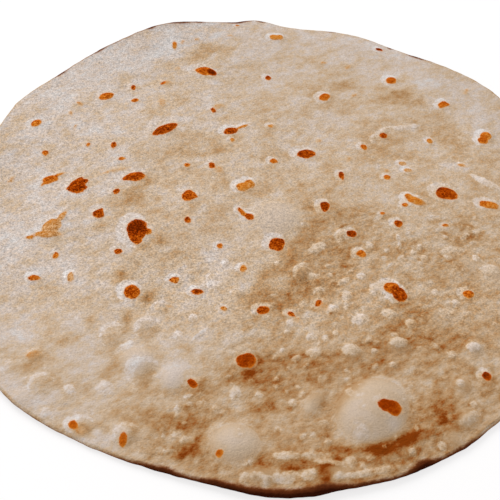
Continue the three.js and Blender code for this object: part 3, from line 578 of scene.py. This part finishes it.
def halo_of(spot):
    """Pale slope round a toasted spot, widest on its far left where the light falls, partly pale skin and
    partly painted highlight, and how pale it is.
    """
    size = math.sqrt(spot.long * spot.wide)
    grow, shift = 0.4 + 0.22 * size, 0.2 + 0.13 * size
    # Shifted to the spot's far left, towards the light: painted highlight.
    at_x, at_y = spot.x - 1.25 * shift, spot.y + 0.75 * shift
    oval = Bubble(at_x, at_y, spot.long / 2 + grow, spot.wide / 2 + grow, spot.turn, 0)
    slack = float(unstretched(np.array(spot.x), np.array(spot.y)))
    # The slopes are faintest on the far left of the bread.
    clear = 0.4 + 0.6 * max(rising(spot.x, -22, -8), rising(spot.y, -15, -30))
    return oval, spot.halo * slack * clear * min(1, 0.5 + 0.12 * size)


def oval_depth(x, y, oval):
    """How far inside an oval's edge each point lies, in mm: negative outside it."""
    along, across = turned(x, y, oval.x, oval.y, oval.turn)
    return (1 - np.hypot(along / oval.long, across / oval.wide)) * min(oval.long, oval.wide)


def painted_shade_slope(bump):
    """The oval on a small dome's near right slope, away from the light, left tan as painted shade."""
    shift = SLOPE_SHIFT * bump.long
    long, wide = SLOPE_SHARE * bump.long, SLOPE_SHARE * bump.wide
    return Bubble(bump.x + shift, bump.y - shift, long, wide, bump.turn, bump.height)


def pale_shapes():
    """The ovals of all pale lumps, domes, beads and slopes, and how pale each of them is."""
    shapes = [(lump, min(1, 3 * lump.height)) for lump in LUMPS]
    shapes += [(bump, DOME_PAINTED_HIGHLIGHT) for bump in DOMES]
    shapes += [(bead, BEAD_PALENESS) for bead in scattered_beads()]
    return shapes + [halo_of(spot) for spot in SPOTS if spot.shade != FAINT]


def pale_depth(x, y):
    """How far inside the nearest pale shape each point lies, in mm, and less on its near right, so that
    its far left reads as painted highlight.
    """
    warp_x, warp_y = wavering(x, y, PALE_WAVER, 1.6, SEED + 170)
    depth = np.full_like(x, -OUTSIDE)
    for shape, paleness in pale_shapes():
        near = near_to(x, y, shape, max(shape.long, shape.wide) + OUTSIDE)
        near_x, near_y = warp_x[near], warp_y[near]
        inside = oval_depth(near_x, near_y, shape)
        # A dome's paleness stops short of its near right slope, which is left as painted shade.
        if shape in DOMES:
            inside = np.minimum(inside, -oval_depth(near_x, near_y, painted_shade_slope(shape)))
        # Each shape is paler on its far left, where the light falls, than on its near right: painted
        # highlight over its own paleness.
        lean = (near_y - shape.y - near_x + shape.x) / (shape.long + shape.wide)
        lit = paleness * (0.65 + 0.35 * np.clip(1.4 * lean, -1, 1))
        most = PALE_EDGE + (PALE_FULL - PALE_EDGE) * lit
        depth[near] = np.maximum(depth[near], np.minimum(inside, most))
    return depth


def blister_relief(x, y):
    total = np.zeros_like(x)
    for spot in SPOTS:
        long, wide = spot.long / 2 + BLISTER_SKIRT, spot.wide / 2 + BLISTER_SKIRT
        height = BLISTER_HEIGHT * min(1, math.sqrt(spot.long * spot.wide) / 3.5)
        blister = Bubble(spot.x, spot.y, long, wide, spot.turn, height)
        total = np.maximum(total, dome(x, y, blister, 2))
    return total * unstretched(x, y)


def lumpy(x, y, cell, seed, turn):
    """Rounded lumps with narrow valleys between them: above 0 on a lump, below 0 in a valley."""
    along, across = turned(x, y, 0, 0, turn)
    noise = lattice_noise(along / cell / LUMP_STRETCH, across / cell, seed)
    return 1 - np.exp(-((noise / VALLEY) ** 2)) - LUMP_MEAN


def crumples(x, y):
    """The lumps of the skin in two sizes and directions, each about 0 on average."""
    return lumpy(x, y, FOLD_CELL, SEED + 40, 20), lumpy(x, y, CREASE_CELL, SEED + 50, 38)


def fine_relief(x, y):
    """Uneven skin: a slow heave and grain all over, with lumps where it is crumpled."""
    rough = crumpled(x, y)
    folds, creases = crumples(x, y)
    heave = HEAVE_HEIGHT * layered_noise(x, y, HEAVE_CELL, SEED + 20)
    grain = layered_noise(x, y, GRAIN_CELL, SEED + 60, 2)
    lumps = rough * (FOLD_HEIGHT * folds + CREASE_HEIGHT * creases)
    lumps += BEAD_HEIGHT * highest_dome(x, y, scattered_beads())
    return (heave + lumps + (0.03 + 0.03 * rough) * grain) * unstretched(x, y)


def raw_rim(x, y):
    """1 along the far rim, where the dough is rawer, less down both sides, else 0."""
    return rising(np.hypot(x, y), 68, 84) * rising(y, -40, 10)


def dullness(x, y):
    """How grey the ground is: 1 on the raw rim, less on the far side and the bubbles, else 0."""
    ground = np.maximum(raw_rim(x, y), 0.6 * rising(y, 25, 60))
    return np.maximum(ground, 0.7 * ease(bubble_relief(x, y)))


def smudges():
    """Patches of toast round the faint spots, and painted shade on the near right slopes of the small
    domes.
    """
    patches = [(*spot[:5], SMUDGE) for spot in SPOTS if spot.shade == FAINT]
    for slope in map(painted_shade_slope, DOMES):
        long, wide = 1.5 * slope.long, 1.5 * slope.wide
        patches.append((slope.x, slope.y, long, wide, slope.turn, DOME_PAINTED_SHADE))
    return patches


def patch_toast(x, y, patches):
    return sum(soft_patch(x, y, patch) for patch in patches)


def fold_toast(x, y, pale):
    """Toast that gathers in the folds of the skin and round the pale lumps, or below 0."""
    rough = crumpled(x, y)
    folds, creases = crumples(x, y)
    folded = (0.05 + 0.06 * rough) * folds + (0.03 + 0.07 * rough) * creases
    round_lumps = 0.06 * rough * np.exp(-(((pale + 0.35) / 0.3) ** 2))
    return round_lumps - (0.02 * rough + folded) * unstretched(x, y)


def toast_of(x, y, pale):
    """How far the ground is toasted: 0 raw and floury, 1 deep brown, most of it in the folds."""
    toast = BASE_TOAST + 0.15 * np.tanh((0.8 * x - 0.5 * y + 5) / 50)
    toast += 0.06 * layered_noise(x, y, 22, SEED + 80, 2)
    toast += 0.15 * tan_wedge(x, y) - 0.07 * raw_rim(x, y)
    toast += patch_toast(x, y, TOASTED + FLOURED_AND_LIT + WARMED + smudges())
    over = np.clip(toast - TOAST_KNEE, 0, None)
    toast += TOAST_MORE * np.tanh(over / TOAST_MORE) - over
    toast += patch_toast(x, y, SCORCHED) + fold_toast(x, y, pale)
    return toast - 0.11 * np.clip(bubble_relief(x, y), 0, 1)


def grain_of(x, y):
    """How strongly the flour speckles the skin: most on the left, little towards the near rim."""
    past_near_rim = rising(y, -64, -30)
    middle = np.exp(-(((y + 34) / 16) ** 2)) * rising(x, -50, -20)
    far_right = rising(y, 20, 60) * rising(x, -35, 5)
    strength = 0.25 + 0.75 * past_near_rim + 0.3 * middle
    return strength * (1 - 0.4 * far_right) * (1 - 0.2 * np.tanh(x / 40))


def spot_fields(x, y):
    """Depth inside the nearest toasted spot in mm, and the shade of its toast there."""
    warp_x, warp_y = wavering(x, y, SPOT_WAVER, 1.9, SEED + 100)
    depth = np.full_like(x, -OUTSIDE)
    shade = np.zeros_like(x)
    leaning = np.zeros_like(x)
    # Each blister is darkest on its far left, and lighter towards its edge.
    for spot in SPOTS:
        inside = spot_depth(warp_x, warp_y, spot)
        if spot.shade == FAINT:
            inside = np.minimum(inside, FAINT_DEPTH)
        size = math.sqrt(spot.long * spot.wide)
        lean = np.clip((y - spot.y - x + spot.x) / size, -1, 1)
        leaning = np.where(inside > depth, lean, leaning)
        depth = np.maximum(depth, inside)
        shade = np.maximum(shade, spot.shade + 0.09 * lean + 1.5 * np.clip(inside, -2, 0))
    shade *= 1 + 0.6 * np.clip(depth - 0.45, -0.6, 0)
    return depth, shade + 0.12 * leaning * np.exp(-((depth / 0.4) ** 2))


# --------------------
# The mesh
# --------------------
def ring_start(ring):
    """Index of the first point of a ring from 1 up, where point 0 is the middle."""
    return 1 + SECTORS * ring * (ring - 1) // 2


def disc_points(rings):
    """Share of the radius and angle of each point on rings of evenly spaced points."""
    share, degrees = [0.0], [0.0]
    for ring in range(1, rings + 1):
        count = SECTORS * ring
        share += [ring / rings] * count
        degrees += [360 * index / count for index in range(count)]
    return np.array(share), np.array(degrees)


def disc_faces(rings):
    """Triangles between the rings of disc_points, turning anticlockwise."""
    faces = [(0, 1 + index, 1 + (index + 1) % SECTORS) for index in range(SECTORS)]
    for ring in range(1, rings):
        inner, outer = ring_start(ring), ring_start(ring + 1)
        inside, outside = SECTORS * ring, SECTORS * (ring + 1)
        for sector in range(SECTORS):
            for step in range(ring + 1):
                a = inner + (sector * ring + step) % inside
                b = outer + (sector * (ring + 1) + step) % outside
                c = outer + (sector * (ring + 1) + step + 1) % outside
                faces.append((a, b, c))
                if step < ring:
                    d = inner + (sector * ring + step + 1) % inside
                    faces.append((a, c, d))
    return faces


def edge_faces(first, count, rows):
    """Triangles between rows of count points each, from the top's edge down and under."""
    faces = []
    for row in range(rows):
        for index in range(count):
            a = first + row * count + index
            b = first + (row + 1) * count + index
            after = (index + 1) % count - index
            faces += [(a, b, b + after), (a, b + after, a + after)]
    return faces


def seam_faces(fine, coarse, count):
    """Triangles, facing down, between a ring of 2 * count points and count points inside it."""
    faces = []
    for index in range(count):
        a, b = fine + 2 * index, fine + 2 * index + 1
        c = fine + (2 * index + 2) % (2 * count)
        d, e = coarse + index, coarse + (index + 1) % count
        faces += [(d, b, a), (d, e, b), (e, c, b)]
    return faces


def place(radius, degrees):
    return radius * np.cos(np.radians(degrees)), radius * np.sin(np.radians(degrees))


def rim_radius(degrees):
    """Radius of the bread's uneven edge: its outline with a fine roughness on it."""
    x, y = place(MEAN_RADIUS, degrees)
    return MEAN_RADIUS + round_the_rim(OUTLINE, degrees) + 0.16 * layered_noise(x, y, 4, SEED + 120)


def char_and_shade_reach(degrees):
    """How far the dark rim reaches in over the top, in mm: below 0 it ends down the side."""
    return round_the_rim(CHARRED_AND_SHADED_RIM, degrees) - RIM_BARE


def top_surface():
    """Points of the top and the fields that the crust material reads at them."""
    share, degrees = disc_points(TOP_RINGS)
    rim = rim_radius(degrees)
    radius = (rim - EDGE_ROUND) * share
    inset = rim - radius
    x, y = place(radius, degrees)
    inwards = ease(inset / RIM_WIDTH)
    relief = bubble_relief(x, y) + blister_relief(x, y) + roll_height(x, y) * inwards
    relief += highest_dome(x, y, LUMPS + DOMES) + fine_relief(x, y)
    plain = RIM_THICKNESS + (THICKNESS - RIM_THICKNESS) * inwards
    z = lift(degrees, inset) + plain + relief * ease(inset / (2 * EDGE_ROUND))
    pale = pale_depth(x, y)
    depth, shade = spot_fields(x, y)
    return {
        "co": (x, y, z),
        "toast": toast_of(x, y, pale),
        "spot": depth,
        "shade": shade,
        "pale": pale,
        "rough": (0.25 + 0.75 * crumpled(x, y)) * unstretched(x, y),
        "grainy": grain_of(x, y),
        "dull": dullness(x, y),
        "char_and_shade": char_and_shade_reach(degrees) - inset + EDGE_ROUND,
    }


def edge_surface():
    """Rows of points round the soft corner, from just past the top to the underside."""
    degrees = np.arange(SECTORS * TOP_RINGS) * 360 / (SECTORS * TOP_RINGS)
    rim = rim_radius(degrees)
    rows = []
    for row in range(1, EDGE_STEPS + 1):
        slope = math.pi / 2 - math.pi * row / EDGE_STEPS
        inset = np.full_like(degrees, EDGE_ROUND * (1 - math.cos(slope)))
        x, y = place(rim - inset, degrees)
        z = lift(degrees, inset) + RIM_THICKNESS / 2 * (1 + math.sin(slope))
        rows.append((x, y, z, char_and_shade_reach(degrees) + EDGE_ROUND * (math.pi / 2 - slope)))
    x, y, z, char_and_shade = (np.concatenate(part) for part in zip(*rows))
    return {
        "co": (x, y, z),
        "toast": 0.5 + 0.12 * layered_noise(x, y, 7, SEED + 130),
        "spot": -OUTSIDE,
        "shade": 0,
        "pale": -OUTSIDE,
        "rough": 0.5,
        "grainy": 0.6,
        "dull": dullness(x, y),
        "char_and_shade": char_and_shade,
    }


def underside_spots():
    """Toasted spots of the underside, where the bread lay on the griddle."""
    rng = np.random.default_rng(SEED + 5)
    spots = []
    for _ in range(UNDERSIDE_SPOTS):
        radius = MEAN_RADIUS * math.sqrt(rng.uniform(0, 0.9))
        degrees = rng.uniform(0, 360)
        x, y = place(radius, degrees)
        size = rng.lognormal(0.95, 0.42)
        shade = rng.uniform(FAINT, BLACK)
        stretch = rng.uniform(1, 1.8)
        turn = rng.uniform(0, 180)
        spots.append(Spot(x, y, size * stretch, size, turn, shade, rng.uniform(1.6, 2.8)))
    return spots


def underside_surface():
    share, degrees = disc_points(UNDER_RINGS)
    rim = rim_radius(degrees)
    radius = (rim - EDGE_ROUND - SEAM_WIDTH) * share
    inset = rim - radius
    x, y = place(radius, degrees)
    hollow = UNDERSIDE_HOLLOW * np.clip(layered_noise(x, y, 9, SEED + 140), 0, 1)
    fine = np.clip(layered_noise(x, y, 3, SEED + 150) * 0.08, 0, 0.1)
    z = lift(degrees, inset) + (hollow + fine) * ease(inset / RIM_WIDTH)
    depth = np.full_like(x, -OUTSIDE)
    shade = np.zeros_like(x)
    for spot in underside_spots():
        inside = spot_depth(x, y, spot)
        depth = np.maximum(depth, inside)
        shade = np.maximum(shade, spot.shade + 0.5 * np.clip(inside - 0.45, -2, 0))
    return {
        "co": (x, y, z),
        "toast": 0.42 + 0.13 * layered_noise(x, y, 17, SEED + 160) - 0.6 * hollow,
        "spot": depth,
        "shade": shade,
        "pale": -OUTSIDE,
        "rough": 0.4,
        "grainy": 0.8,
        "dull": 0,
        "char_and_shade": 1.6 + char_and_shade_reach(degrees) - 0.5 * inset,
    }


def bread_faces():
    """Triangles of the whole bread, whose points are its top's, its edge's and its underside's."""
    rim_count = SECTORS * TOP_RINGS
    top_edge = ring_start(TOP_RINGS)
    edge_end = top_edge + rim_count * EDGE_STEPS
    under = edge_end + rim_count
    faces = disc_faces(TOP_RINGS)
    faces += edge_faces(top_edge, rim_count, EDGE_STEPS)
    faces += seam_faces(edge_end, under + ring_start(UNDER_RINGS), rim_count // 2)
    return faces + [(under + a, under + c, under + b) for a, b, c in disc_faces(UNDER_RINGS)]


def add_field(mesh, name, parts):
    """Store on the mesh's points a field that each part gives as an array or as one number."""
    values = [np.broadcast_to(part[name], part["co"][0].shape) for part in parts]
    attribute = mesh.attributes.new(name, "FLOAT", "POINT")
    attribute.data.foreach_set("value", np.concatenate(values).astype(np.float32))


def add_object(name, data):
    added = bpy.data.objects.new(name, data)
    bpy.context.collection.objects.link(added)
    return added


def make_bread():
    parts = [top_surface(), edge_surface(), underside_surface()]
    co = np.concatenate([np.stack(part["co"], 1) for part in parts]) * MM
    mesh = bpy.data.meshes.new("chapati_bread")
    mesh.from_pydata(co.tolist(), [], bread_faces())
    for name in ("toast", "spot", "shade", "pale", "rough", "grainy", "dull", "char_and_shade"):
        add_field(mesh, name, parts)
    mesh.shade_smooth()
    mesh.validate()
    return add_object("chapati_bread", mesh)


# --------------------
# Materials
# --------------------
def linear(red, green, blue):
    """Shader colour of an 8-bit screen colour."""
    shares = [c / 255 for c in (red, green, blue)]
    return [c / 12.92 if c <= 0.04045 else ((c + 0.055) / 1.055) ** 2.4 for c in shares] + [1]


# Crust from raw and floury to deep brown: place on the ramp and colour.
CRUST_RAMP = [
    (0.0, linear(212, 205, 201)), (0.2, linear(209, 193, 181)), (0.4, linear(203, 179, 153)),
    (0.6, linear(189, 155, 118)), (0.78, linear(170, 125, 80)), (0.9, linear(156, 94, 44)),
    (1.0, linear(132, 60, 12)),
]
# Blister tops from faint tan to nearly black.
TOAST_RAMP = [
    (0.0, linear(208, 162, 114)), (0.16, linear(192, 137, 83)), (0.3, linear(208, 132, 50)),
    (0.52, linear(194, 98, 20)), (0.76, linear(156, 58, 3)), (1.0, linear(98, 31, 2)),
]
# The dark rim from brown to charred: the charred edge, and painted shade along the near rim.
CHAR_AND_SHADE_RAMP = [
    (0.0, linear(138, 84, 46)), (0.35, linear(92, 44, 20)), (1.0, linear(54, 20, 8)),
]
FRINGE = linear(222, 178, 130)  # the thin toasted line just outside a blister's top
ROLLED_TOWARDS = 33  # degrees: the skin's markings run the way it was rolled
ROLLED_STRETCH = 1.4


class Nodes:
    """Short names for making and joining the nodes of one material."""

    def __init__(self, name):
        self.material = bpy.data.materials.new(name)
        self.material.use_nodes = True
        self.tree = self.material.node_tree
        self.tree.nodes.clear()

    def add(self, kind, inputs=(), **settings):
        node = self.tree.nodes.new(kind)
        for name, value in settings.items():
            setattr(node, name, value)
        for name, value in dict(inputs).items():
            if isinstance(value, bpy.types.NodeSocket):
                self.tree.links.new(value, node.inputs[name])
            else:
                node.inputs[name].default_value = value
        return node

    def finished(self, inputs):
        """The material, once a shader with these inputs is its surface."""
        shader = self.add("ShaderNodeBsdfPrincipled", inputs)
        self.add("ShaderNodeOutputMaterial", {"Surface": shader.outputs["BSDF"]})
        return self.material

    def math(self, operation, a, b):
        return self.add("ShaderNodeMath", {0: a, 1: b}, operation=operation).outputs[0]

    def times(self, a, b):
        return self.math("MULTIPLY", a, b)

    def rest(self, share):
        """What a share leaves of 1."""
        return self.math("SUBTRACT", 1, share)

    def reading(self, name):
        """A field that the mesh holds at its points."""
        node = self.add("ShaderNodeAttribute", attribute_name=name, attribute_type="GEOMETRY")
        return node.outputs["Fac"]

    def noise(self, place, per_mm, detail, roughness):
        inputs = {"Vector": place, "Scale": per_mm / MM, "Detail": detail, "Roughness": roughness}
        return self.add("ShaderNodeTexNoise", inputs).outputs["Fac"]

    def about_zero(self, noise, size):
        """Noise of 0 to 1 turned into a change of up to half of size either way."""
        return self.times(self.math("SUBTRACT", noise, 0.5), size)

    def sum(self, *terms):
        total = terms[0]
        for term in terms[1:]:
            total = self.math("ADD", total, term)
        return total

    def fade(self, value, low, high):
        inputs = {"Value": value, "From Min": low, "From Max": high}
        node = self.add("ShaderNodeMapRange", inputs, interpolation_type="SMOOTHSTEP")
        return node.outputs["Result"]

    def ramp(self, value, stops):
        node = self.add("ShaderNodeValToRGB", {"Fac": value})
        elements = node.color_ramp.elements
        while len(elements) < len(stops):
            elements.new(0.5)
        for element, (position, colour) in zip(elements, stops):
            element.position = position
            element.color = colour
        return node.outputs["Color"]

    def grey(self, value):
        inputs = {"Red": value, "Green": value, "Blue": value}
        return self.add("ShaderNodeCombineColor", inputs).outputs["Color"]

    def mix(self, share, under, over, blend="MIX"):
        inputs = {0: share, 6: under, 7: over}
        return self.add("ShaderNodeMix", inputs, data_type="RGBA", blend_type=blend).outputs[2]


class Crust(Nodes):
    """The crust's noise, what it reads from the mesh, and the colours it makes of them."""

    def __init__(self):
        super().__init__("crust")
        place = self.add("ShaderNodeTexCoord").outputs["Object"]
        rolled = self.add("ShaderNodeMapping", {
            "Vector": place,
            "Rotation": (0, 0, math.radians(ROLLED_TOWARDS)),
            "Scale": (ROLLED_STRETCH, 1, 1),
        }, vector_type="TEXTURE").outputs[0]
        # From slow to fine: cells to each mm, how many finer layers, and how strong those are.
        self.mottle = self.noise(rolled, 0.19, 4, 0.8)
        self.curd = self.noise(rolled, 0.6, 3, 0.7)
        self.grain = self.noise(place, 1.0, 2, 0.8)
        self.flour = self.noise(place, 2.2, 1, 0.6)
        self.rough = self.reading("rough")
        self.grainy = self.reading("grainy")
        flecks = self.sum(self.about_zero(self.grain, 0.8), self.about_zero(self.flour, 0.95))
        self.freckles = self.times(flecks, self.grainy)

    def unevenness(self):
        """Uneven toast: slow mottling but on the bubbles, and finer curds on crumpled skin."""
        slow = self.times(self.about_zero(self.mottle, 1.35), self.fade(self.rough, 0, 0.25))
        return self.sum(
            self.times(slow, self.rest(self.times(self.rough, 0.45))),
            self.times(self.about_zero(self.curd, 0.6), self.sum(self.rough, 0.1)),
            self.times(self.about_zero(self.grain, 0.2), self.grainy),
        )

    def ground(self):
        """Colour of the ground by its toast, with the flour's speckle and the pale lumps, partly their
        own paleness and partly painted highlight.
        """
        pale = self.sum(self.reading("pale"), self.about_zero(self.grain, 0.6))
        pale_and_highlit = self.fade(pale, PALE_EDGE, PALE_FULL)
        toast = self.sum(
            self.reading("toast"),
            self.times(self.unevenness(), self.rest(self.times(pale_and_highlit, 0.5))),
            self.times(pale_and_highlit, -0.3),
        )
        dull = self.times(self.reading("dull"), -0.07)
        speckle = self.sum(self.freckles, self.times(pale_and_highlit, 0.09), dull, 1)
        return self.mix(1.0, self.ramp(toast, CRUST_RAMP), self.grey(speckle), "MULTIPLY")

    def with_blisters(self, ground):
        """The ground with the toasted blisters on it, each in a thin fringe."""
        depth = self.sum(self.reading("spot"), self.about_zero(self.grain, 0.6))
        freckles = self.times(self.freckles, 0.7)
        shade = self.sum(self.reading("shade"), self.about_zero(self.curd, 0.45), freckles)
        speckle = self.grey(self.rest(self.freckles))
        toasted = self.mix(1.0, self.ramp(shade, TOAST_RAMP), speckle, "MULTIPLY")
        fringed = self.mix(self.times(self.fade(depth, -0.45, -0.15), 0.3), ground, FRINGE)
        return self.mix(self.fade(depth, -0.12, 0.1), fringed, toasted)

    def with_dark_rim(self, colour):
        # The dark rim is partly charred crust and partly painted shade.
        char_and_shade = self.sum(
            self.reading("char_and_shade"), self.about_zero(self.curd, 0.9), self.about_zero(self.grain, 0.8),
        )
        burnt_and_shaded = self.ramp(self.times(char_and_shade, 0.6), CHAR_AND_SHADE_RAMP)
        return self.mix(self.fade(char_and_shade, -0.6, 0.4), colour, burnt_and_shaded)

    def grain_bump(self):
        height = self.sum(
            self.times(self.times(self.curd, self.rough), 1.5),
            self.times(self.grain, 0.6),
            self.times(self.flour, 0.4),
        )
        bump = self.add("ShaderNodeBump", {"Strength": 0.8, "Distance": 0.3 * MM, "Height": height})
        return bump.outputs["Normal"]


def crust_material():
    crust = Crust()
    return crust.finished({
        "Base Color": crust.with_dark_rim(crust.with_blisters(crust.ground())),
        "Roughness": 0.86,
        "Normal": crust.grain_bump(),
        "Specular IOR Level": 0.0,
    })


def floor_material():
    return Nodes("pale_floor").finished({
        "Base Color": linear(140, 139, 139),
        "Roughness": 0.7,
        "Specular IOR Level": 0.2,
        "Emission Color": linear(255, 254, 254),
        "Emission Strength": 0.74,
    })


# --------------------
# Floor, light and camera
# --------------------
# The floor and the light are in metres and watts, the camera in millimetres and degrees.
FLOOR_SIDE = 6.0
KEY_FROM = (-1.1, 1.5, 1.5)  # the soft main light stands behind the bread on the left
KEY_SIZE = 1.6
KEY_POWER = 46
SKY_STRENGTH = 0.53

AIM = (-4.22, -18.41, 2)  # the point in the middle of the picture
CAMERA_DISTANCE = 246.81
CAMERA_ELEVATION = 48.54
CAMERA_ROLL = 3.35
LENS = 64.8
SENSOR = 36
NEAREST_SEEN = 0.01  # metres


def make_floor():
    half = FLOOR_SIDE / 2
    corners = [(-half, -half, 0), (half, -half, 0), (half, half, 0), (-half, half, 0)]
    mesh = bpy.data.meshes.new("floor")
    mesh.from_pydata(corners, [], [(0, 1, 2, 3)])
    mesh.materials.append(floor_material())
    return add_object("floor", mesh)


def make_key_light():
    data = bpy.data.lights.new("key", "AREA")
    data.shape = "DISK"
    data.size = KEY_SIZE
    data.energy = KEY_POWER
    key = add_object("key", data)
    key.location = KEY_FROM
    key.rotation_mode = "QUATERNION"
    key.rotation_quaternion = Vector(KEY_FROM).to_track_quat("Z", "Y")


def make_sky():
    world = bpy.data.worlds.new("soft_sky")
    world.use_nodes = True
    world.node_tree.nodes["Background"].inputs["Color"].default_value = (1, 1, 1, 1)
    world.node_tree.nodes["Background"].inputs["Strength"].default_value = SKY_STRENGTH
    bpy.context.scene.world = world


def make_camera():
    elevation, roll = math.radians(CAMERA_ELEVATION), math.radians(CAMERA_ROLL)
    back = Vector((0, -math.cos(elevation), math.sin(elevation)))
    level, upright = Vector((1, 0, 0)), Vector((0, math.sin(elevation), math.cos(elevation)))
    right = math.cos(roll) * level + math.sin(roll) * upright
    up = math.cos(roll) * upright - math.sin(roll) * level
    data = bpy.data.cameras.new("camera")
    data.sensor_width = SENSOR
    data.lens = LENS
    data.clip_start = NEAREST_SEEN
    camera = add_object("camera", data)
    turn = Matrix((right, up, back)).transposed().to_4x4()
    camera.matrix_world = Matrix.Translation((Vector(AIM) + back * CAMERA_DISTANCE) * MM) @ turn
    bpy.context.scene.camera = camera


# --------------------
# The scene
# --------------------
bread = make_bread()
bread.data.materials.append(crust_material())
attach(bread, "root")
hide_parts("chapati")
make_floor()
make_key_light()
make_sky()
make_camera()
bpy.context.scene.view_settings.view_transform = "Standard"
